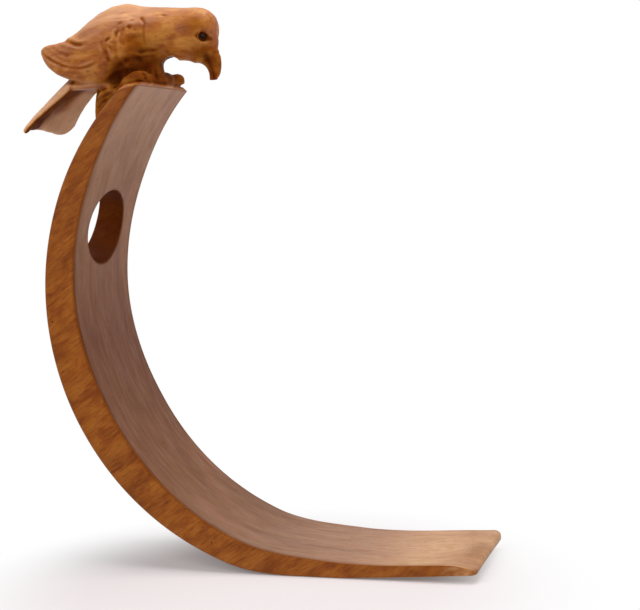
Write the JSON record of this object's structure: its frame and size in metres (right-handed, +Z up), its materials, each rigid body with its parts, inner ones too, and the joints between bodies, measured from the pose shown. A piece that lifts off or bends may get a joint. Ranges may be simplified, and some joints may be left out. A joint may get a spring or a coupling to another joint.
{
  "type": "wine bottle holder",
  "caption": "Bow-shaped wooden balancing holder for one wine bottle, with a hole for the neck near its upper end and a carved bird perched on top.",
  "frame": {"origin": "middle of the underside of the bounding box, on the surface that the holder stands on", "axes": "+X from the bird's tail towards the toe of the foot, +Y across the board to the bird's left, +Z up"},
  "size_m": [0.231, 0.065, 0.2856],
  "materials": {
    "board_wood": "satin wax over reddish brown tropical hardwood, grain along the bow",
    "bird_wood": "satin wax over knife-carved golden brown hardwood",
    "dowel_beech": "bare beech dowel rod",
    "eye_bead": "polished dark brown bead"
  },
  "bodies": {
    "root": {"curved_stand": "board_wood", "bird_carving": "bird_wood", "dowel_left": "dowel_beech", "dowel_right": "dowel_beech", "eye_left": "eye_bead", "eye_right": "eye_bead"}
  },
  "joints": []
}
